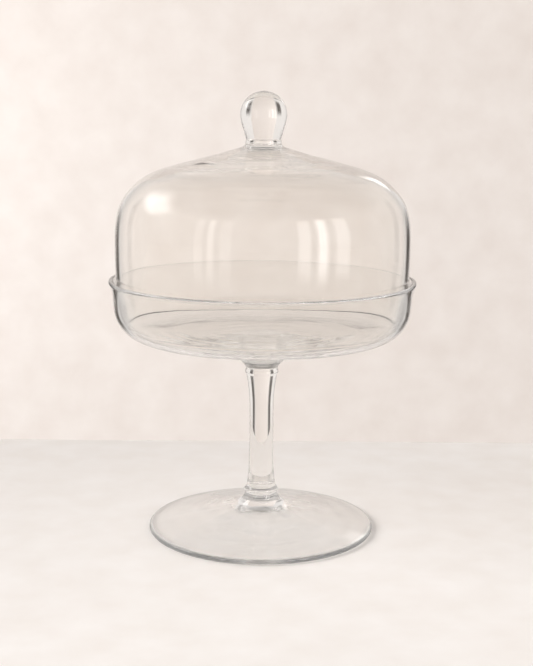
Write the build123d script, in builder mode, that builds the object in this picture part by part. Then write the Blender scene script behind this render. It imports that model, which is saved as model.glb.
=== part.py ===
"""Footed glass dish with a lift-off bell dome, blown and hot-joined in clear glass.

Two loose things stand on each other: the stand (foot, stem, dish) and the dome (bell, knob).
Each is made of separate gathers of glass joined hot, and every gather is one solid here.
Every piece is turned about the Z axis. Millimetres, +Z up, origin at the centre of the foot's base.
Angles are in degrees and are counted from the outward direction towards the upward one.
"""

from math import cos, radians, sin, tan
import os

from build123d import *

# Overall sizes
DISH_RIM_DIAMETER = 200.0
DISH_RIM_HEIGHT = 168.5
FOOT_DIAMETER = 150.0
STEM_DIAMETER = 16.0
DOME_DIAMETER = 191.2
DOME_RIM_HEIGHT = 138.2
KNOB_DIAMETER = 30.2
KNOB_TOP_HEIGHT = 288.8

# Glass thicknesses
FOOT_EDGE = 3.4
DISH_WALL = 2.6
DOME_WALL = 2.4

# Heights of the hot joints, from the table up
FOOT_TOP = 24.4
BASE_RING_TOP = 28.6
STEM_TOP = 105.0
BUTTON_TOP = 114.0
DOME_TOP = 252.6
COLLAR_TOP = 258.4

# Radii of the hot joints
FOOT_TOP_RADIUS = 10.6
BASE_RING_TOP_RADIUS = 9.7
STEM_TOP_RADIUS = 10.2
BUTTON_TOP_RADIUS = 13.8
DOME_TOP_RADIUS = 16.6
COLLAR_TOP_RADIUS = 11.2

# Directions in which the outline runs smoothly across a hot joint
BUTTON_TOP_DIRECTION = 48.0
DOME_TOP_DIRECTION = 165.0

# The dish's underside and floor are shallow cones that meet its wall in one round corner
CORNER_RADIUS = 22.0
CORNER_CENTRE = (75.0, 151.5)
WALL_LEAN = 6.5
UNDERSIDE_SLOPE = 4.0
FLOOR_SLOPE = 2.0


def on_circle(centre, radius, angle):
    """The point of a circle at an angle."""
    return (centre[0] + radius * cos(radians(angle)), centre[1] + radius * sin(radians(angle)))


def towards(angle):
    """The unit direction at an angle."""
    return (cos(radians(angle)), sin(radians(angle)))


os.makedirs("parts", exist_ok=True)

# Foot: a low hollow cone with a round edge, gathered up into a hub under the stem
foot_radius = FOOT_DIAMETER / 2
foot_edge_radius = FOOT_EDGE / 2
foot_edge_centre = (foot_radius - foot_edge_radius, foot_edge_radius)
foot_slope = 12.4
foot_ring_width = 4.0
hub_radius = 19.5
hub_height = FOOT_EDGE + (foot_radius - hub_radius) * tan(radians(foot_slope))
hub_end_direction = 100.0
hollow_radius = 11.0
hollow_height = 11.5

with BuildPart() as foot:
    with BuildSketch(Plane.XZ):
        with BuildLine():
            edge_top = on_circle(foot_edge_centre, foot_edge_radius, 90 - foot_slope)
            ground = (foot_edge_centre[0], 0)
            edge = ThreePointArc(ground, (foot_radius, foot_edge_radius), edge_top)
            cone = Line(edge @ 1, (hub_radius, hub_height))
            hub = Spline(
                cone @ 1,
                (FOOT_TOP_RADIUS, FOOT_TOP),
                tangents=(towards(180 - foot_slope), towards(hub_end_direction)),
            )
            Polyline(
                hub @ 1,
                (0, FOOT_TOP),
                (0, hollow_height),
                (hollow_radius, hollow_height),
                (foot_radius - foot_ring_width, 0),
                ground,
            )
        make_face()
    revolve(axis=Axis.Z)
foot.part.label = "foot"
export_step(foot.part, "parts/foot.step")

# Base ring: a thin bead of glass wound round the bottom of the stem
bead_middle = (11.2, (FOOT_TOP + BASE_RING_TOP) / 2)

with BuildPart() as base_ring:
    with BuildSketch(Plane.XZ):
        with BuildLine():
            bead = Spline(
                (FOOT_TOP_RADIUS, FOOT_TOP),
                bead_middle,
                (BASE_RING_TOP_RADIUS, BASE_RING_TOP),
            )
            Polyline(bead @ 1, (0, BASE_RING_TOP), (0, FOOT_TOP), bead @ 0)
        make_face()
    revolve(axis=Axis.Z)
base_ring.part.label = "base_ring"
export_step(base_ring.part, "parts/base_ring.step")

# Stem: a solid rod, straight for its middle third and spread a little at both ends
stem_radius = STEM_DIAMETER / 2
straight_bottom = 54.0
straight_top = 84.0
stem_bottom_direction = 99.0
stem_top_direction = 80.0

with BuildPart() as stem:
    with BuildSketch(Plane.XZ):
        with BuildLine():
            straight = Line((stem_radius, straight_bottom), (stem_radius, straight_top))
            upper = Spline(
                straight @ 1,
                (STEM_TOP_RADIUS, STEM_TOP),
                tangents=(towards(90), towards(stem_top_direction)),
            )
            lower = Spline(
                (BASE_RING_TOP_RADIUS, BASE_RING_TOP),
                straight @ 0,
                tangents=(towards(stem_bottom_direction), towards(90)),
            )
            Polyline(upper @ 1, (0, STEM_TOP), (0, BASE_RING_TOP), lower @ 0)
        make_face()
    revolve(axis=Axis.Z)
stem.part.label = "stem"
export_step(stem.part, "parts/stem.step")

# Button: the gather that joins the stem to the dish, with a faint ring at its foot
button_ring = (10.9, 106.6)
button_waist = (10.5, 109.0)
button_waist_direction = 85.0

with BuildPart() as button:
    with BuildSketch(Plane.XZ):
        with BuildLine():
            ring = Spline((STEM_TOP_RADIUS, STEM_TOP), button_ring, button_waist)
            flare = Spline(
                ring @ 1,
                (BUTTON_TOP_RADIUS, BUTTON_TOP),
                tangents=(towards(button_waist_direction), towards(BUTTON_TOP_DIRECTION)),
            )
            Polyline(flare @ 1, (0, BUTTON_TOP), (0, STEM_TOP), ring @ 0)
        make_face()
    revolve(axis=Axis.Z)
button.part.label = "button"
export_step(button.part, "parts/button.step")

# Dish: a shallow bowl with an upright wall, a round corner and a lip turned outward
rim_radius = DISH_RIM_DIAMETER / 2
rim_bead = DISH_WALL / 2
lip_angle = 28.0
lip_centre = (rim_radius - rim_bead, DISH_RIM_HEIGHT - rim_bead)
underside_angle = UNDERSIDE_SLOPE - 90
floor_angle = FLOOR_SLOPE - 90
floor_corner_radius = CORNER_RADIUS - DISH_WALL
spread_radius = 24.0

with BuildPart() as dish:
    with BuildSketch(Plane.XZ):
        with BuildLine():
            # Outside, from the joint out along the underside cone and up to the lip
            outer_start = on_circle(CORNER_CENTRE, CORNER_RADIUS, underside_angle)
            outer_middle = on_circle(CORNER_CENTRE, CORNER_RADIUS, (underside_angle - WALL_LEAN) / 2)
            outer_end = on_circle(CORNER_CENTRE, CORNER_RADIUS, -WALL_LEAN)
            spread_fall = (outer_start[0] - spread_radius) * tan(radians(UNDERSIDE_SLOPE))
            spread = (spread_radius, outer_start[1] - spread_fall)
            Spline(
                (BUTTON_TOP_RADIUS, BUTTON_TOP),
                spread,
                tangents=(towards(BUTTON_TOP_DIRECTION), towards(UNDERSIDE_SLOPE)),
            )
            Line(spread, outer_start)
            ThreePointArc(outer_start, outer_middle, outer_end)
            lip_outer = on_circle(lip_centre, rim_bead, -lip_angle)
            Spline(outer_end, lip_outer, tangents=(towards(90 - WALL_LEAN), towards(90 - lip_angle)))

            # Over the lip, down the inside and along the floor cone to the middle
            lip_top = on_circle(lip_centre, rim_bead, 90 - lip_angle)
            lip_inner = on_circle(lip_centre, rim_bead, 180 - lip_angle)
            ThreePointArc(lip_outer, lip_top, lip_inner)
            inner_end = on_circle(CORNER_CENTRE, floor_corner_radius, -WALL_LEAN)
            inner_middle = on_circle(
                CORNER_CENTRE, floor_corner_radius, (floor_angle - WALL_LEAN) / 2
            )
            inner_start = on_circle(CORNER_CENTRE, floor_corner_radius, floor_angle)
            Spline(lip_inner, inner_end, tangents=(towards(-90 - lip_angle), towards(-90 - WALL_LEAN)))
            ThreePointArc(inner_end, inner_middle, inner_start)
            floor_centre = (0, inner_start[1] - inner_start[0] * tan(radians(FLOOR_SLOPE)))
            Line(inner_start, floor_centre)
            Polyline(floor_centre, (0, BUTTON_TOP), (BUTTON_TOP_RADIUS, BUTTON_TOP))
        make_face()
    revolve(axis=Axis.Z)
dish.part.label = "dish"
export_step(dish.part, "parts/dish.step")

# Dome: a blown bell whose rounded rim turns in and stands on the dish's round corner.
# Each point of its outline has the direction in which the outline passes, from the rim up.
dome_rim_radius = DOME_WALL / 2
dome_rim_centre = (88.1, DOME_RIM_HEIGHT + dome_rim_radius)
dome_rim_direction = 48.0
bell_outline = [
    (on_circle(dome_rim_centre, dome_rim_radius, dome_rim_direction - 90), dome_rim_direction),
    ((92.9, 148.0), 80),
    ((DOME_DIAMETER / 2, 190.0), 90),
    ((93.0, 214.0), 107),
    ((82.0, 230.0), 138),
    ((57.0, 242.0), DOME_TOP_DIRECTION),
    ((DOME_TOP_RADIUS, DOME_TOP), DOME_TOP_DIRECTION),
]


def inset(outline, depth):
    """The outline moved inwards, square to its own direction at each point."""
    moved = []
    for (radius, height), direction in outline:
        across, up = towards(direction + 90)
        moved.append(((radius + depth * across, height + depth * up), direction))
    return moved


def smooth_line(outline):
    """One smooth line through the outline's points in their directions."""
    return Spline([point for point, _ in outline], tangents=[towards(way) for _, way in outline])


with BuildPart() as dome:
    with BuildSketch(Plane.XZ):
        with BuildLine():
            outside = smooth_line(bell_outline)
            inside = smooth_line(inset(bell_outline, DOME_WALL))
            rim_end = on_circle(dome_rim_centre, dome_rim_radius, dome_rim_direction - 180)
            ThreePointArc(inside @ 0, rim_end, outside @ 0)
            Polyline(outside @ 1, (0, DOME_TOP), (0, (inside @ 1).Y), inside @ 1)
        make_face()
    revolve(axis=Axis.Z)
dome.part.label = "dome"
export_step(dome.part, "parts/dome.step")

# Knob collar: the short neck between the bell and the knob
root_top = (11.6, 255.8)
root_top_direction = 92.0
neck_middle = (11.5, 257.6)

with BuildPart() as knob_collar:
    with BuildSketch(Plane.XZ):
        with BuildLine():
            root = Spline(
                (DOME_TOP_RADIUS, DOME_TOP),
                root_top,
                tangents=(towards(DOME_TOP_DIRECTION), towards(root_top_direction)),
            )
            neck = Spline(root @ 1, neck_middle, (COLLAR_TOP_RADIUS, COLLAR_TOP))
            Polyline(neck @ 1, (0, COLLAR_TOP), (0, DOME_TOP), root @ 0)
        make_face()
    revolve(axis=Axis.Z)
knob_collar.part.label = "knob_collar"
export_step(knob_collar.part, "parts/knob_collar.step")

# Knob: a solid ball, drawn in below its middle to meet the collar
knob_radius = KNOB_DIAMETER / 2
knob_middle = KNOB_TOP_HEIGHT - knob_radius
knob_base = (12.4, 262.4)
knob_bottom_direction = 72.0

with BuildPart() as knob:
    with BuildSketch(Plane.XZ):
        with BuildLine():
            cap_middle = on_circle((0, knob_middle), knob_radius, 45)
            cap = ThreePointArc((knob_radius, knob_middle), cap_middle, (0, KNOB_TOP_HEIGHT))
            lower = Spline(
                (COLLAR_TOP_RADIUS, COLLAR_TOP),
                knob_base,
                cap @ 0,
                tangents=(towards(knob_bottom_direction), towards(90)),
            )
            Polyline(cap @ 1, (0, COLLAR_TOP), lower @ 0)
        make_face()
    revolve(axis=Axis.Z)
knob.part.label = "knob"
export_step(knob.part, "parts/knob.step")
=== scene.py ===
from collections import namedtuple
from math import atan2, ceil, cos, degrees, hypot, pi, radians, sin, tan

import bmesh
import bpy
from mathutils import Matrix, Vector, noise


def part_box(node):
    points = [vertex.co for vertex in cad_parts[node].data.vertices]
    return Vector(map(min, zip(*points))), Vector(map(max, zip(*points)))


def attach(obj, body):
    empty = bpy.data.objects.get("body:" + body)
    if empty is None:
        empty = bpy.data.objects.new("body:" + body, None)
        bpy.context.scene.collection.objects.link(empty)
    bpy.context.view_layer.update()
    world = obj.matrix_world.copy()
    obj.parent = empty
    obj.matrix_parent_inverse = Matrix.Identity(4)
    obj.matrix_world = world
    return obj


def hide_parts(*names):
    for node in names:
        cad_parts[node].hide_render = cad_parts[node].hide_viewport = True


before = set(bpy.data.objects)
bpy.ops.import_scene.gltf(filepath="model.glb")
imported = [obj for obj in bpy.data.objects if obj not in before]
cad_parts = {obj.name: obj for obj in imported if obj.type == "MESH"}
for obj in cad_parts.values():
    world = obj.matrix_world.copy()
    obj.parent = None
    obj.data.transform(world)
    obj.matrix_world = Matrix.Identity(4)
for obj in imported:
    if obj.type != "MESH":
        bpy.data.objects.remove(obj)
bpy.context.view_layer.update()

# Looks of a footed glass dish with a lift-off bell dome.
# Each CAD node is stood for by a finely turned piece of glass with the same outline, very slightly
# uneven as hand-worked glass is. Where two pieces were joined hot, the disc that they share is clear,
# so that light goes through the joint as through one body of glass.
# Outlines are in millimetres, as (radius, height), and angles in degrees from outward to upward.
# The stage is in metres: the camera looks along +Y, with the light mostly from the left.

MM = 0.001


def top_of(node):
    """The height of a CAD node's top, in millimetres."""
    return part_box(node)[1][2] / MM


def bottom_of(node):
    """The height of a CAD node's bottom, in millimetres."""
    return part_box(node)[0][2] / MM


def radius_of(node):
    """The largest radius of a CAD node, in millimetres."""
    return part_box(node)[1][0] / MM


# Sizes that the frame gives
FOOT_RADIUS = radius_of("foot")
FOOT_TOP = top_of("foot")
BASE_RING_TOP = top_of("base_ring")
STEM_TOP = top_of("stem")
STEM_TOP_RADIUS = radius_of("stem")
BUTTON_TOP = top_of("button")
BUTTON_TOP_RADIUS = radius_of("button")
DISH_RADIUS = radius_of("dish")
DISH_TOP = top_of("dish")
DOME_RADIUS = radius_of("dome")
DOME_BOTTOM = bottom_of("dome")
DOME_TOP = top_of("dome")
DOME_TOP_RADIUS = radius_of("knob_collar")
COLLAR_TOP = top_of("knob_collar")
KNOB_RADIUS = radius_of("knob")
KNOB_TOP = top_of("knob")

# Sizes that the outlines share with the design
FOOT_EDGE = 3.4
DISH_WALL = 2.6
DOME_WALL = 2.4
FOOT_TOP_RADIUS = 10.6
BASE_RING_TOP_RADIUS = 9.7
COLLAR_TOP_RADIUS = 11.2
BUTTON_TOP_DIRECTION = 48.0
DOME_TOP_DIRECTION = 165.0
UPRIGHT = 90.0

# How finely the glass is turned
TURN_STEPS = 288
CURVE_STEP = 1.1
LINE_STEP = 2.5
FEWEST_ARC_STEPS = 10
FEWEST_BEND_STEPS = 6
FEWEST_BULGE_STEPS = 8
SHARP_TURN = 25.0

# How uneven it is: slow swells outside, lengthwise ripples inside, and rings where it lies level.
# More waves make a kind change faster round the axis, and a greater length slower along it.
SWELL_DEPTH = 0.10
SWELL_WAVES = 1.7
SWELL_LENGTH = 38.0
RIPPLE_DEPTH = 0.16
RIPPLE_WAVES = 3.1
RIPPLE_LENGTH = 70.0
RIPPLE_SHIFT = 5.0
RING_DEPTH = 0.50
RING_WAVES = 1.4
RING_WIDTH = 6.5
LEVEL_FROM = 0.85
FADE_LENGTH = 14.0
GROUND_BAND = 0.2

Stretch = namedtuple("Stretch", "kind points")


# ---------------------------------------------------------------- outlines

def on_circle(centre, radius, angle):
    """The point of a circle at an angle."""
    return (centre[0] + radius * cos(radians(angle)), centre[1] + radius * sin(radians(angle)))


def line(start, end):
    """Points along a straight line, both ends included."""
    count = max(1, ceil(hypot(end[0] - start[0], end[1] - start[1]) / LINE_STEP))
    return [
        (start[0] + (end[0] - start[0]) * k / count, start[1] + (end[1] - start[1]) * k / count)
        for k in range(count + 1)
    ]


def arc(centre, radius, start_angle, end_angle):
    """Points along an arc, both ends included."""
    length = radius * radians(abs(end_angle - start_angle))
    count = max(FEWEST_ARC_STEPS, ceil(length / CURVE_STEP))
    return [
        on_circle(centre, radius, start_angle + (end_angle - start_angle) * k / count)
        for k in range(count + 1)
    ]


def bend(start, start_way, end, end_way):
    """Points along a smooth curve that leaves start and reaches end in the given directions."""
    length = hypot(end[0] - start[0], end[1] - start[1])
    count = max(FEWEST_BEND_STEPS, ceil(length / CURVE_STEP))
    leave = (length * cos(radians(start_way)), length * sin(radians(start_way)))
    reach = (length * cos(radians(end_way)), length * sin(radians(end_way)))
    points = []
    for k in range(count + 1):
        u = k / count
        at_start = 2 * u**3 - 3 * u**2 + 1
        from_start = u**3 - 2 * u**2 + u
        at_end = 3 * u**2 - 2 * u**3
        to_end = u**3 - u**2
        points.append(tuple(
            at_start * start[i] + from_start * leave[i] + at_end * end[i] + to_end * reach[i]
            for i in range(2)
        ))
    return points


def bulge(start, middle, end):
    """Points along the parabola through three points."""
    first = hypot(middle[0] - start[0], middle[1] - start[1])
    second = hypot(end[0] - middle[0], end[1] - middle[1])
    m = first / (first + second)
    count = max(FEWEST_BULGE_STEPS, ceil((first + second) / CURVE_STEP))
    points = []
    for k in range(count + 1):
        u = k / count
        of_start = (u - m) * (u - 1) / m
        of_middle = u * (u - 1) / (m * (m - 1))
        of_end = u * (u - m) / (1 - m)
        points.append(tuple(
            of_start * start[i] + of_middle * middle[i] + of_end * end[i] for i in range(2)
        ))
    return points


def chain(*parts):
    """One list of points from several that follow on from each other."""
    points = list(parts[0])
    for part in parts[1:]:
        points += part[1:]
    return points


def smooth_line(outline):
    """Points of a smooth line through (point, direction) pairs."""
    return chain(*(bend(*a, *b) for a, b in zip(outline, outline[1:])))


def inset(outline, depth):
    """The outline of (point, direction) pairs moved inwards, square to its own direction."""
    return [(on_circle(point, depth, way + 90), way) for point, way in outline]


def joint_disc(radius, height):
    """The disc that two pieces share where they were joined hot, from the middle outwards."""
    return Stretch("joint", line((0, height), (radius, height)))


# ---------------------------------------------------------------- turning

def unevenness(waves, angle, along):
    """A smooth share from 0 to 1 that changes round the axis and along it."""
    return 0.5 + 0.5 * noise.noise(Vector((waves * cos(angle), waves * sin(angle), along)))


def placed(point, normal, angle, share, kind):
    """Where a point of an outline lies after turning, in metres, with the glass's unevenness.

    Outside, the unevenness only takes glass away, so that no point leaves the design's box. Inside,
    it only adds glass, so that a wall nowhere gets thin on both sides.
    """
    radius, height = point
    level = max(0, abs(normal[1]) - LEVEL_FROM) / (1 - LEVEL_FROM)
    ringed = RING_DEPTH * level * unevenness(RING_WAVES, angle, (height + radius) / RING_WIDTH)
    if kind == "inside":
        rippled = unevenness(RIPPLE_WAVES, angle, height / RIPPLE_LENGTH + RIPPLE_SHIFT)
        depth = -RIPPLE_DEPTH * rippled - ringed
    else:
        swollen = unevenness(SWELL_WAVES, angle, height / SWELL_LENGTH)
        depth = SWELL_DEPTH * swollen + ringed
    radius -= share * depth * normal[0]
    height -= share * depth * normal[1]
    return (radius * cos(angle) * MM, radius * sin(angle) * MM, height * MM)


def outward(before, after):
    """The unit normal of an outline that runs from before to after with the glass on its left."""
    across, up = after[0] - before[0], after[1] - before[1]
    length = hypot(across, up)
    return (up / length, -across / length)


def evenness(points, kinds):
    """For each point, from 0 at a joint, at the axis and on the ground to 1 well away from them."""
    still = [
        points[i] for i in range(len(points))
        if "joint" in kinds[max(0, i - 1):i + 1] or points[i][1] < GROUND_BAND
    ]
    shares = []
    for point in points:
        away = min([hypot(point[0] - q[0], point[1] - q[1]) for q in still] + [point[0]])
        shares.append(min(1, away / FADE_LENGTH))
    return shares


def turns_sharply(before, here, after):
    """True where an outline has a corner."""
    first = atan2(here[1] - before[1], here[0] - before[0])
    second = atan2(after[1] - here[1], after[0] - here[0])
    turn = abs(degrees(second - first)) % 360
    return SHARP_TURN < turn < 360 - SHARP_TURN


def joined(stretches):
    """All points of an outline, and the kind of each step from one to the next."""
    points = [stretches[0].points[0]]
    kinds = []
    for stretch in stretches:
        points += stretch.points[1:]
        kinds += [stretch.kind] * (len(stretch.points) - 1)
    return points, kinds


def circles_of(body, points, kinds):
    """For each point of an outline, the vertices of the circle that it turns through."""
    angles = [2 * pi * k / TURN_STEPS for k in range(TURN_STEPS)]
    shares = evenness(points, kinds)
    clockwise = points[0][1] > points[-1][1]
    circles = []
    for i, point in enumerate(points):
        if i in (0, len(points) - 1):
            circles.append([body.verts.new((0, 0, point[1] * MM))] * TURN_STEPS)
            continue
        kind = "inside" if kinds[i - 1] == kinds[i] == "inside" else "outside"
        normal = outward(points[i - 1], points[i + 1])
        if clockwise:
            normal = (-normal[0], -normal[1])
        circles.append([
            body.verts.new(placed(point, normal, angle, shares[i], kind)) for angle in angles
        ])
    return circles


def cover(body, circles, kinds):
    """Smooth faces between each circle and the next, those of a joint in its own material."""
    for i, kind in enumerate(kinds):
        lower, upper = circles[i], circles[i + 1]
        for k in range(TURN_STEPS):
            after = (k + 1) % TURN_STEPS
            corners = (lower[k], lower[after], upper[after], upper[k])
            face = body.faces.new(dict.fromkeys(corners))
            face.smooth = True
            face.material_index = 1 if kind == "joint" else 0


def sharpen_corners(body, circles, points):
    """Sharp edges round each circle where the outline has a corner."""
    for i in range(1, len(points) - 1):
        if turns_sharply(points[i - 1], points[i], points[i + 1]):
            for k in range(TURN_STEPS):
                body.edges.get((circles[i][k], circles[i][(k + 1) % TURN_STEPS])).smooth = False


def turned(name, stretches, glass, joint):
    """A closed body turned about Z from an outline that starts and ends on the axis."""
    points, kinds = joined(stretches)
    mesh = bpy.data.meshes.new(name)
    body = bmesh.new()
    circles = circles_of(body, points, kinds)
    cover(body, circles, kinds)
    sharpen_corners(body, circles, points)
    bmesh.ops.recalc_face_normals(body, faces=body.faces)
    body.to_mesh(mesh)
    body.free()
    mesh.materials.append(glass)
    mesh.materials.append(joint)
    piece = bpy.data.objects.new(name, mesh)
    bpy.context.scene.collection.objects.link(piece)
    return piece


# ---------------------------------------------------------------- outlines of the pieces

def foot_outline():
    """A low hollow cone with a round edge, gathered up into a hub."""
    slope = 12.4
    hub_radius = 19.5
    hub_end_direction = 100.0
    ring_width = 4.0
    hollow_radius = 11.0
    hollow_height = 11.5
    edge_radius = FOOT_EDGE / 2
    edge_centre = (FOOT_RADIUS - edge_radius, edge_radius)
    edge_top = on_circle(edge_centre, edge_radius, 90 - slope)
    hub_height = FOOT_EDGE + (FOOT_RADIUS - hub_radius) * tan(radians(slope))
    hub = (hub_radius, hub_height)
    ground = (edge_centre[0], 0)
    ring_inside = (FOOT_RADIUS - ring_width, 0)
    outside = chain(
        bend((FOOT_TOP_RADIUS, FOOT_TOP), hub_end_direction - 180, hub, -slope),
        line(hub, edge_top),
        arc(edge_centre, edge_radius, 90 - slope, -90),
        line(ground, ring_inside),
    )
    inside = chain(
        line(ring_inside, (hollow_radius, hollow_height)),
        line((hollow_radius, hollow_height), (0, hollow_height)),
    )
    return [
        joint_disc(FOOT_TOP_RADIUS, FOOT_TOP),
        Stretch("outside", outside),
        Stretch("inside", inside),
    ]


def between_joints(bottom_radius, bottom, top_radius, top, outside):
    """The outline of a solid piece with a joint below and above it."""
    return [
        joint_disc(bottom_radius, bottom),
        Stretch("outside", outside),
        Stretch("joint", line((top_radius, top), (0, top))),
    ]


def base_ring_outline():
    """A thin bead of glass wound round the bottom of the stem."""
    middle = (11.2, (FOOT_TOP + BASE_RING_TOP) / 2)
    bead = bulge((FOOT_TOP_RADIUS, FOOT_TOP), middle, (BASE_RING_TOP_RADIUS, BASE_RING_TOP))
    return between_joints(FOOT_TOP_RADIUS, FOOT_TOP, BASE_RING_TOP_RADIUS, BASE_RING_TOP, bead)


def stem_outline():
    """A solid rod, straight for its middle third and spread a little at both ends."""
    radius = 8.0
    bottom_direction = 99.0
    top_direction = 80.0
    straight_bottom = (radius, 54.0)
    straight_top = (radius, 84.0)
    outside = chain(
        bend((BASE_RING_TOP_RADIUS, BASE_RING_TOP), bottom_direction, straight_bottom, UPRIGHT),
        line(straight_bottom, straight_top),
        bend(straight_top, UPRIGHT, (STEM_TOP_RADIUS, STEM_TOP), top_direction),
    )
    return between_joints(BASE_RING_TOP_RADIUS, BASE_RING_TOP, STEM_TOP_RADIUS, STEM_TOP, outside)


def button_outline():
    """The gather that joins the stem to the dish, with a faint ring at its foot."""
    ring = (10.9, 106.6)
    waist = (10.5, 109.0)
    waist_direction = 85.0
    outside = chain(
        bulge((STEM_TOP_RADIUS, STEM_TOP), ring, waist),
        bend(waist, waist_direction, (BUTTON_TOP_RADIUS, BUTTON_TOP), BUTTON_TOP_DIRECTION),
    )
    return between_joints(STEM_TOP_RADIUS, STEM_TOP, BUTTON_TOP_RADIUS, BUTTON_TOP, outside)


def dish_outline():
    """A shallow bowl with an upright wall, a round corner and a lip turned outward."""
    corner = (75.0, 151.5)
    outer_radius = 22.0
    inner_radius = outer_radius - DISH_WALL
    wall_lean = 6.5
    underside_slope = 4.0
    floor_slope = 2.0
    lip_angle = 28.0
    spread_radius = 24.0
    bead = DISH_WALL / 2
    lip = (DISH_RADIUS - bead, DISH_TOP - bead)

    underside_end = on_circle(corner, outer_radius, underside_slope - 90)
    spread_fall = (underside_end[0] - spread_radius) * tan(radians(underside_slope))
    spread = (spread_radius, underside_end[1] - spread_fall)
    outer_end = on_circle(corner, outer_radius, -wall_lean)
    inner_end = on_circle(corner, inner_radius, -wall_lean)
    lip_outer = on_circle(lip, bead, -lip_angle)
    lip_inner = on_circle(lip, bead, 180 - lip_angle)
    floor_end = on_circle(corner, inner_radius, floor_slope - 90)
    floor_middle = (0, floor_end[1] - floor_end[0] * tan(radians(floor_slope)))
    outside = chain(
        bend((BUTTON_TOP_RADIUS, BUTTON_TOP), BUTTON_TOP_DIRECTION, spread, underside_slope),
        line(spread, underside_end),
        arc(corner, outer_radius, underside_slope - 90, -wall_lean),
        bend(outer_end, 90 - wall_lean, lip_outer, 90 - lip_angle),
        arc(lip, bead, -lip_angle, 180 - lip_angle),
    )
    inside = chain(
        bend(lip_inner, -90 - lip_angle, inner_end, -90 - wall_lean),
        arc(corner, inner_radius, -wall_lean, floor_slope - 90),
        line(floor_end, floor_middle),
    )
    return [
        joint_disc(BUTTON_TOP_RADIUS, BUTTON_TOP),
        Stretch("outside", outside),
        Stretch("inside", inside),
    ]


def dome_outline():
    """A blown bell whose rounded rim turns in."""
    rim_radius = DOME_WALL / 2
    rim_centre = (88.1, DOME_BOTTOM + rim_radius)
    rim_direction = 48.0
    bell = [
        (on_circle(rim_centre, rim_radius, rim_direction - 90), rim_direction),
        ((92.9, 148.0), 80),
        ((DOME_RADIUS, 190.0), UPRIGHT),
        ((93.0, 214.0), 107),
        ((82.0, 230.0), 138),
        ((57.0, 242.0), DOME_TOP_DIRECTION),
        ((DOME_TOP_RADIUS, DOME_TOP), DOME_TOP_DIRECTION),
    ]
    down_outside = smooth_line(bell)[::-1]
    up_inside = smooth_line(inset(bell, DOME_WALL))
    rim = arc(rim_centre, rim_radius, rim_direction - 90, rim_direction - 270)
    ceiling = line(up_inside[-1], (0, up_inside[-1][1]))
    return [
        joint_disc(DOME_TOP_RADIUS, DOME_TOP),
        Stretch("outside", chain(down_outside, rim)),
        Stretch("inside", chain(up_inside, ceiling)),
    ]


def knob_collar_outline():
    """The short neck between the bell and the knob."""
    root_top = (11.6, 255.8)
    root_top_direction = 92.0
    neck_middle = (11.5, 257.6)
    outside = chain(
        bend((DOME_TOP_RADIUS, DOME_TOP), DOME_TOP_DIRECTION, root_top, root_top_direction),
        bulge(root_top, neck_middle, (COLLAR_TOP_RADIUS, COLLAR_TOP)),
    )
    return between_joints(DOME_TOP_RADIUS, DOME_TOP, COLLAR_TOP_RADIUS, COLLAR_TOP, outside)


def knob_outline():
    """A solid ball, drawn in below its middle."""
    middle = KNOB_TOP - KNOB_RADIUS
    base = (12.4, 262.4)
    bottom_direction = 72.0
    base_direction = 75.0
    outside = chain(
        bend((COLLAR_TOP_RADIUS, COLLAR_TOP), bottom_direction, base, base_direction),
        bend(base, base_direction, (KNOB_RADIUS, middle), UPRIGHT),
        arc((0, middle), KNOB_RADIUS, 0, 90),
    )
    return [joint_disc(COLLAR_TOP_RADIUS, COLLAR_TOP), Stretch("outside", outside)]


# ---------------------------------------------------------------- materials

GLASS_IOR = 1.5
FACING_BLEND = 0.5
TINT_STRETCH = (1, 1, 0.6)
TINT_SCALE = 14
SOFT_DETAIL = 2
MARK_SCALE = 55
MARK_DETAIL = 5
MARKS_FROM = 0.45
MARKS_FULL = 0.75
PLASTER_ROUGHNESS = 0.95
PLASTER_SHINE = 0.1
CLOUD_DETAIL = 9
CLOUDS_FROM = 0.3
CLOUDS_FULL = 0.7

# What lamp light loses where the glass faces the lamp and where it is edge-on to it, then painted
# shade
SHADE_FACING = (0.975, 0.97, 0.965)
SHADE_EDGE = (0.15, 0.14, 0.13)
# Painted shade: glass seen edge-on is darkened towards this tint, for its dark edges
PAINTED_EDGE_SHADE = (0.10, 0.10, 0.10)
# Painted shade: a darker tint painted in a band of RIM_BAND millimetres inside a rim, which darkens
# the shadow there too
PAINTED_RIM_SHADE = (0.27, 0.285, 0.295)
RIM_BAND = 1.5

# A texture's stretch that is the same along all axes
EVEN = (1, 1, 1)

# Sockets of a colour Mix node, which share their names with those of its other kinds
MIX_SHARE = 0
MIX_LOW = 6
MIX_HIGH = 7
MIX_COLOUR = 2


def new_material(name):
    """An empty node material with its output node."""
    material = bpy.data.materials.new(name)
    material.use_nodes = True
    tree = material.node_tree
    tree.nodes.clear()
    output = tree.nodes.new("ShaderNodeOutputMaterial")
    return material, tree, output


def noise_on(tree, stretch, scale, detail):
    """A noise texture over object coordinates that are stretched along the axes."""
    place = tree.nodes.new("ShaderNodeTexCoord")
    mapping = tree.nodes.new("ShaderNodeMapping")
    texture = tree.nodes.new("ShaderNodeTexNoise")
    mapping.inputs["Scale"].default_value = stretch
    texture.inputs["Scale"].default_value = scale
    texture.inputs["Detail"].default_value = detail
    tree.links.new(place.outputs["Object"], mapping.inputs["Vector"])
    tree.links.new(mapping.outputs["Vector"], texture.inputs["Vector"])
    return texture.outputs["Fac"]


def colour_mix(tree, value):
    """A node that mixes two colours by a value."""
    node = tree.nodes.new("ShaderNodeMix")
    node.data_type = "RGBA"
    tree.links.new(value, node.inputs[MIX_SHARE])
    return node


def ramp(tree, value, low, high):
    """A colour that goes from low to high as the value does."""
    node = colour_mix(tree, value)
    node.inputs[MIX_LOW].default_value = (*low, 1)
    node.inputs[MIX_HIGH].default_value = (*high, 1)
    return node.outputs[MIX_COLOUR]


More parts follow.
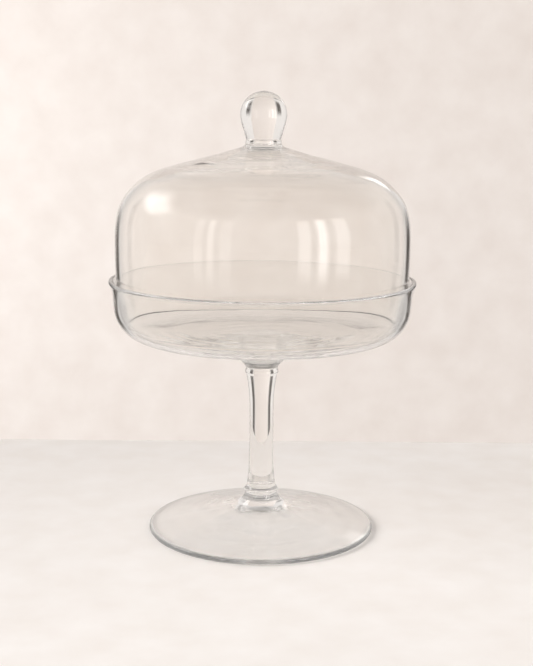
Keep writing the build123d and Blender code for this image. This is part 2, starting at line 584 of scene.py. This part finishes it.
def deeper(tree, colour, value, tint):
    """The colour, which turns into the tint as the value goes from 0 to 1."""
    node = colour_mix(tree, value)
    tree.links.new(colour, node.inputs[MIX_LOW])
    node.inputs[MIX_HIGH].default_value = (*tint, 1)
    return node.outputs[MIX_COLOUR]


def spread_over(tree, value, from_low, from_high, to_low, to_high):
    """The value carried from one range to another, and held there."""
    node = tree.nodes.new("ShaderNodeMapRange")
    node.inputs["From Min"].default_value = from_low
    node.inputs["From Max"].default_value = from_high
    node.inputs["To Min"].default_value = to_low
    node.inputs["To Max"].default_value = to_high
    tree.links.new(value, node.inputs["Value"])
    return node.outputs["Result"]


def paint_rim_shade(tree, colour, rim_radius):
    """The colour with painted shade: turned towards the rim tint over the last millimetres before the
    rim.
    """
    place = tree.nodes.new("ShaderNodeTexCoord")
    level = tree.nodes.new("ShaderNodeVectorMath")
    level.operation = "MULTIPLY"
    level.inputs[1].default_value = (1, 1, 0)
    from_axis = tree.nodes.new("ShaderNodeVectorMath")
    from_axis.operation = "LENGTH"
    tree.links.new(place.outputs["Object"], level.inputs[0])
    tree.links.new(level.outputs["Vector"], from_axis.inputs[0])
    rim = rim_radius * MM
    share = spread_over(tree, from_axis.outputs["Value"], rim - RIM_BAND * MM, rim, 0.0, 1.0)
    return deeper(tree, colour, share, PAINTED_RIM_SHADE)


def seen_edge_on(tree, edge_from):
    """From 0 up to edge_from to 1 where the glass is seen exactly edge-on."""
    facing = tree.nodes.new("ShaderNodeLayerWeight")
    facing.inputs["Blend"].default_value = FACING_BLEND
    return spread_over(tree, facing.outputs["Facing"], edge_from, 1.0, 0.0, 1.0)


def mix_shaders(tree, share, first, second, output):
    """The surface: the first shader where the share is 0, and the second where it is 1."""
    choice = tree.nodes.new("ShaderNodeMixShader")
    tree.links.new(share, choice.inputs["Fac"])
    tree.links.new(first, choice.inputs[1])
    tree.links.new(second, choice.inputs[2])
    tree.links.new(choice.outputs["Shader"], output.inputs["Surface"])


def worked_glass(tree, colour, grain, grain_scale, depth, roughest):
    """A shader of clear glass with the ripples left by working it, and faint hand marks."""
    shader = tree.nodes.new("ShaderNodeBsdfPrincipled")
    shader.inputs["Transmission Weight"].default_value = 1.0
    shader.inputs["IOR"].default_value = GLASS_IOR
    tree.links.new(colour, shader.inputs["Base Color"])
    marks = noise_on(tree, EVEN, MARK_SCALE, MARK_DETAIL)
    roughness = spread_over(tree, marks, MARKS_FROM, MARKS_FULL, 0.0, roughest)
    tree.links.new(roughness, shader.inputs["Roughness"])

    bump = tree.nodes.new("ShaderNodeBump")
    bump.inputs["Strength"].default_value = 1.0
    bump.inputs["Distance"].default_value = depth
    ripples = noise_on(tree, grain, grain_scale, SOFT_DETAIL)
    tree.links.new(ripples, bump.inputs["Height"])
    tree.links.new(bump.outputs["Normal"], shader.inputs["Normal"])
    return shader.outputs["BSDF"]


def glass_material(name, tints, finish, edge_from, rim_radius=None):
    """Clear fire-polished glass that changes faintly in tint from place to place.

    From edge_from on, the more it is seen edge-on the darker its colour, painted shade for its dark
    edges.
    A glass with a rim radius has painted shade just inside that radius too, in its colour and its
    shadow.
    """
    material, tree, output = new_material(name)
    edge_on = seen_edge_on(tree, edge_from)
    tint = ramp(tree, noise_on(tree, TINT_STRETCH, TINT_SCALE, SOFT_DETAIL), *tints)
    # Painted shade: the colour darkens where the glass is seen edge-on
    colour = deeper(tree, tint, edge_on, PAINTED_EDGE_SHADE)
    shadow = ramp(tree, edge_on, SHADE_FACING, SHADE_EDGE)
    # Painted shade in a band inside the rim, in the colour and in the shadow
    if rim_radius is not None:
        colour = paint_rim_shade(tree, colour, rim_radius)
        shadow = paint_rim_shade(tree, shadow, rim_radius)
    glass = worked_glass(tree, colour, **finish)

    # Lamps shine through it, less where the glass is edge-on to them
    shade = tree.nodes.new("ShaderNodeBsdfTransparent")
    tree.links.new(shadow, shade.inputs["Color"])
    path = tree.nodes.new("ShaderNodeLightPath")
    mix_shaders(tree, path.outputs["Is Shadow Ray"], glass, shade.outputs["BSDF"], output)
    return material


def joint_material():
    """The disc inside a hot joint, where glass goes on into glass and nothing shows."""
    material, tree, output = new_material("hot_joint")
    clear = tree.nodes.new("ShaderNodeBsdfTransparent")
    tree.links.new(clear.outputs["BSDF"], output.inputs["Surface"])
    return material


def plaster_material(name, dark, light, cloud_scale):
    """Limewashed plaster in soft cloudy patches."""
    material, tree, output = new_material(name)
    shader = tree.nodes.new("ShaderNodeBsdfPrincipled")
    shader.inputs["Roughness"].default_value = PLASTER_ROUGHNESS
    shader.inputs["Specular IOR Level"].default_value = PLASTER_SHINE
    cloudy = noise_on(tree, EVEN, cloud_scale, CLOUD_DETAIL)
    clouds = spread_over(tree, cloudy, CLOUDS_FROM, CLOUDS_FULL, 0.0, 1.0)
    tree.links.new(ramp(tree, clouds, dark, light), shader.inputs["Base Color"])
    tree.links.new(shader.outputs["BSDF"], output.inputs["Surface"])
    return material


# ---------------------------------------------------------------- the object

# The two tints between which each glass changes
STAND_TINTS = ((0.940, 0.942, 0.940), (0.966, 0.966, 0.962))
SOLID_TINTS = ((0.945, 0.935, 0.920), (0.970, 0.960, 0.945))
DOME_TINTS = ((0.952, 0.938, 0.918), (0.970, 0.958, 0.940))

# The stretch, scale and depth of each glass's ripples, and how rough its hand marks are at most
STAND_FINISH = {"grain": EVEN, "grain_scale": 38, "depth": 0.00008, "roughest": 0.03}
STEM_FINISH = {"grain": (1, 1, 0.08), "grain_scale": 260, "depth": 0.00006, "roughest": 0.02}
DOME_FINISH = {"grain": (1, 1, 0.35), "grain_scale": 30, "depth": 0.00008, "roughest": 0.02}
KNOB_FINISH = {"grain": EVEN, "grain_scale": 120, "depth": 0.00010, "roughest": 0.02}

# The foot glass and the stem glass have painted shade inside a rim: the foot's edge and the top of
# the button
foot_glass = glass_material(
    "clear_foot_glass", STAND_TINTS, STAND_FINISH, edge_from=0.72, rim_radius=FOOT_RADIUS)
stand_glass = glass_material("clear_stand_glass", STAND_TINTS, STAND_FINISH, edge_from=0.72)
stem_glass = glass_material(
    "clear_stem_glass", SOLID_TINTS, STEM_FINISH, edge_from=0.58, rim_radius=BUTTON_TOP_RADIUS)
dome_glass = glass_material("clear_dome_glass", DOME_TINTS, DOME_FINISH, edge_from=0.70)
knob_glass = glass_material("clear_knob_glass", SOLID_TINTS, KNOB_FINISH, edge_from=0.55)
hot_joint = joint_material()

PIECES = [
    ("foot", foot_outline, "stand", "stand_glass", foot_glass),
    ("base_ring", base_ring_outline, "stand", "stand_glass", stand_glass),
    ("stem", stem_outline, "stand", "stem_glass", stem_glass),
    ("button", button_outline, "stand", "stem_glass", stem_glass),
    ("dish", dish_outline, "stand", "stand_glass", stand_glass),
    ("dome", dome_outline, "lid", "dome_glass", dome_glass),
    ("knob_collar", knob_collar_outline, "lid", "knob_glass", knob_glass),
    ("knob", knob_outline, "lid", "knob_glass", knob_glass),
]

for node, outline, body, slot, glass in PIECES:
    piece = turned(node + "_glass", outline(), glass, hot_joint)
    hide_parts(node)
    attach(piece, body)


# ---------------------------------------------------------------- stage

TABLE_REACH = 4.0
TABLE_BACK = 0.2135
TABLE_GAP = 0.0003
BACKDROP_PLACE = 1.5
BACKDROP_HALF_WIDTH = 0.62
BACKDROP_TOP = 0.95
BACKDROP_BOTTOM = -0.75


def stage_sheet(name, corners, material):
    """A flat sheet of the stage."""
    mesh = bpy.data.meshes.new(name)
    mesh.from_pydata(corners, [], [(0, 1, 2, 3)])
    mesh.materials.append(material)
    sheet = bpy.data.objects.new(name, mesh)
    bpy.context.scene.collection.objects.link(sheet)


def upright(left, right, bottom, top):
    """The corners of a sheet that stands where the backdrop does and faces the camera."""
    return [
        (left, BACKDROP_PLACE, bottom), (right, BACKDROP_PLACE, bottom),
        (right, BACKDROP_PLACE, top), (left, BACKDROP_PLACE, top),
    ]


table_plaster = plaster_material(
    "table_plaster", dark=(0.865, 0.825, 0.795), light=(0.905, 0.875, 0.855), cloud_scale=34)
stage_sheet("table", [
    (-TABLE_REACH, -TABLE_REACH, -TABLE_GAP),
    (TABLE_REACH, -TABLE_REACH, -TABLE_GAP),
    (TABLE_REACH, TABLE_BACK, -TABLE_GAP),
    (-TABLE_REACH, TABLE_BACK, -TABLE_GAP),
], table_plaster)

backdrop_plaster = plaster_material(
    "backdrop_plaster", dark=(0.775, 0.72, 0.685), light=(0.83, 0.785, 0.755), cloud_scale=16)
stage_sheet(
    "backdrop",
    upright(-BACKDROP_HALF_WIDTH, BACKDROP_HALF_WIDTH, BACKDROP_BOTTOM, BACKDROP_TOP),
    backdrop_plaster)


# ---------------------------------------------------------------- light

CARD_STEPS = 24
DOME_SHOULDER = 0.225
WINDOW_WHITE = (1.0, 0.98, 0.96)
PANEL_SOFTNESS = 0.35
PANE_SOFTNESS = 0.2
SILL_SOFTNESS = 0.15
OPENING_DISTANCE = 1.3
CLOTH_GRAIN = 300
CLOTH_DETAIL = 3


def by_share(tree, shader, output):
    """The shader where the card's share is 1, and nothing at all where it is 0."""
    share = tree.nodes.new("ShaderNodeAttribute")
    share.attribute_name = "share"
    clear = tree.nodes.new("ShaderNodeBsdfTransparent")
    mix_shaders(tree, share.outputs["Fac"], clear.outputs["BSDF"], shader, output)


def cloth_material(name, dark, light):
    """Dark cloth that is as dense as each point's own share."""
    material, tree, output = new_material(name)
    cloth = tree.nodes.new("ShaderNodeBsdfDiffuse")
    grain = noise_on(tree, EVEN, CLOTH_GRAIN, CLOTH_DETAIL)
    tree.links.new(ramp(tree, grain, dark, light), cloth.inputs["Color"])
    by_share(tree, cloth.outputs["BSDF"], output)
    return material


def glow_material(name, colour, strength):
    """Light that is as bright as each point's own share."""
    material, tree, output = new_material(name)
    light = tree.nodes.new("ShaderNodeEmission")
    light.inputs["Color"].default_value = (*colour, 1)
    light.inputs["Strength"].default_value = strength
    by_share(tree, light.outputs["Emission"], output)
    return material


def soft_edged(u, softness):
    """1 in the middle of 0 to 1, falling smoothly to 0 at both ends."""
    inside = min(1, min(u, 1 - u) / softness)
    return inside * inside * (3 - 2 * inside)


def towards_light(azimuth, elevation, distance):
    """A point seen from the dome's shoulder: azimuth 0 is in front and 90 to the right."""
    level = distance * cos(radians(elevation))
    return Vector((
        level * sin(radians(azimuth)),
        -level * cos(radians(azimuth)),
        DOME_SHOULDER + distance * sin(radians(elevation)),
    ))


def soft_card(name, corners, share, material):
    """A card between four corners, lower left, lower right, upper right, upper left.

    It holds at each point how much of the material it has there, from 0 to 1.
    """
    low_left, low_right, high_right, high_left = (Vector(c) for c in corners)
    mesh = bpy.data.meshes.new(name)
    count = CARD_STEPS + 1
    steps = [k / CARD_STEPS for k in range(count)]
    places = [
        low_left.lerp(low_right, u).lerp(high_left.lerp(high_right, u), v)
        for v in steps for u in steps
    ]
    faces = [
        (j * count + i, j * count + i + 1, (j + 1) * count + i + 1, (j + 1) * count + i)
        for j in range(CARD_STEPS) for i in range(CARD_STEPS)
    ]
    mesh.from_pydata(places, [], faces)
    layer = mesh.attributes.new("share", "FLOAT", "POINT")
    for k, (v, u) in enumerate((v, u) for v in steps for u in steps):
        layer.data[k].value = share(u, v)
    mesh.materials.append(material)
    card = bpy.data.objects.new(name, mesh)
    card.visible_camera = False
    bpy.context.scene.collection.objects.link(card)
    return card


def soft_panel(u, v):
    """A plain panel with soft edges."""
    return soft_edged(u, PANEL_SOFTNESS) * soft_edged(v, PANEL_SOFTNESS)


def window_panes(u, v):
    """Three tall panes of a window, each from a start to an end, the middle one brightest."""
    panes = ((0.05, 0.30, 0.5), (0.36, 0.56, 1.0), (0.64, 0.96, 0.45))
    across = sum(
        bright * soft_edged((u - start) / (end - start), PANE_SOFTNESS)
        for start, end, bright in panes if start < u < end
    )
    return across * soft_edged(v, SILL_SOFTNESS)


def window_at(left, right):
    """The corners of a tall window between two azimuths."""
    low, high, distance = -13, 27, 0.95
    return [
        towards_light(left, low, distance), towards_light(right, low, distance),
        towards_light(right, high, distance), towards_light(left, high, distance),
    ]


def add_lamp(name, kind, energy, direction):
    """A lamp that shines in a direction and doesn't show in the glass."""
    light = bpy.data.lights.new(name, kind)
    light.energy = energy
    lamp = bpy.data.objects.new(name, light)
    lamp.rotation_euler = Vector(direction).to_track_quat("-Z", "Y").to_euler()
    lamp.visible_glossy = False
    lamp.visible_transmission = False
    bpy.context.scene.collection.objects.link(lamp)
    return lamp


# Dark cloths beside the backdrop, which draw the edges of the glass
FLAG_NEAR_SIDE = 0.56
FLAG_FAR_SIDE = 1.20
FLAG_TOP = 0.42
flag_cloth = cloth_material("flag_cloth", dark=(0.06, 0.055, 0.05), light=(0.10, 0.09, 0.08))
for flag_name, side in (("flag_left", -1), ("flag_right", 1)):
    flag_corners = upright(side * FLAG_NEAR_SIDE, side * FLAG_FAR_SIDE, BACKDROP_BOTTOM, FLAG_TOP)
    soft_card(flag_name, flag_corners, soft_panel, flag_cloth)

# Lights that show only as reflections: a softbox high on the left, a tall window in front on each
# side, and a bright opening behind to the right
LIGHTS = [
    ("left_softbox", soft_panel, 5.0, [
        (-1.14, 0.12, 0.45), (-0.98, -0.42, 0.73), (-0.59, 0.35, 1.10), (-0.64, 0.77, 0.74),
    ]),
    ("right_window", window_panes, 7.5, window_at(22, 68)),
    ("left_window", window_panes, 3.6, window_at(-52, -20)),
    ("back_opening", soft_panel, 3.0, [
        towards_light(azimuth, elevation, OPENING_DISTANCE)
        for azimuth, elevation in ((150, 12), (165, 15), (163, 27), (149, 20))
    ]),
]
for light_name, pattern, strength, corners in LIGHTS:
    glow = glow_material(light_name + "_glow", WINDOW_WHITE, strength)
    light_card = soft_card(light_name, corners, pattern, glow)
    light_card.visible_transmission = False
    light_card.visible_diffuse = False

# Daylight that fills the room from the left
daylight = add_lamp("daylight", "SUN", energy=3.3, direction=(0.80, 0.16, -0.55))
daylight.data.angle = radians(35)
daylight.data.color = (1.0, 0.985, 0.97)

# Light from the left that grazes the backdrop
backdrop_wash = add_lamp("backdrop_wash", "AREA", energy=3.2, direction=(0.65, 0.75, -0.12))
backdrop_wash.data.size = 0.5
backdrop_wash.location = (-1.0, 0.75, 0.25)

# A pale room under a darker ceiling, which shows in the glass that lies nearly level
CEILING_FROM = 0.45
CEILING_FULL = 0.80
WALL_COLOUR = (0.885, 0.845, 0.815)
CEILING_COLOUR = (0.30, 0.285, 0.27)
world = bpy.data.worlds.new("room")
bpy.context.scene.world = world
world.use_nodes = True
room_tree = world.node_tree
looking = room_tree.nodes.new("ShaderNodeTexCoord")
split = room_tree.nodes.new("ShaderNodeSeparateXYZ")
room_tree.links.new(looking.outputs["Generated"], split.inputs["Vector"])
upwards = spread_over(room_tree, split.outputs["Z"], CEILING_FROM, CEILING_FULL, 0.0, 1.0)
room_tree.links.new(
    ramp(room_tree, upwards, WALL_COLOUR, CEILING_COLOUR),
    room_tree.nodes["Background"].inputs["Color"])


# ---------------------------------------------------------------- camera

CAMERA_DISTANCE = 0.7905
CAMERA_HEIGHT = 0.277
CAMERA_PITCH = 10.37
CAMERA_YAW = 0.21
CAMERA_ROLL = 0.47
FOCAL_LENGTH = 82.46
SENSOR_WIDTH = 36.0

lens = bpy.data.cameras.new("camera")
lens.sensor_fit = "HORIZONTAL"
lens.sensor_width = SENSOR_WIDTH
lens.lens = FOCAL_LENGTH
camera = bpy.data.objects.new("camera", lens)
bpy.context.scene.collection.objects.link(camera)
camera.matrix_world = (
    Matrix.Translation((0, -CAMERA_DISTANCE, CAMERA_HEIGHT))
    @ Matrix.Rotation(radians(-CAMERA_YAW), 4, "Z")
    @ Matrix.Rotation(radians(90 - CAMERA_PITCH), 4, "X")
    @ Matrix.Rotation(radians(CAMERA_ROLL), 4, "Z")
)
bpy.context.scene.camera = camera

# Light that runs along inside a wall turns many times before it comes out
GLASS_BOUNCES = 80
CLEAR_BOUNCES = 40
bpy.context.scene.view_settings.view_transform = "Standard"
cycles = bpy.context.scene.cycles
cycles.max_bounces = GLASS_BOUNCES
cycles.transmission_bounces = GLASS_BOUNCES
cycles.glossy_bounces = GLASS_BOUNCES
cycles.transparent_max_bounces = CLEAR_BOUNCES
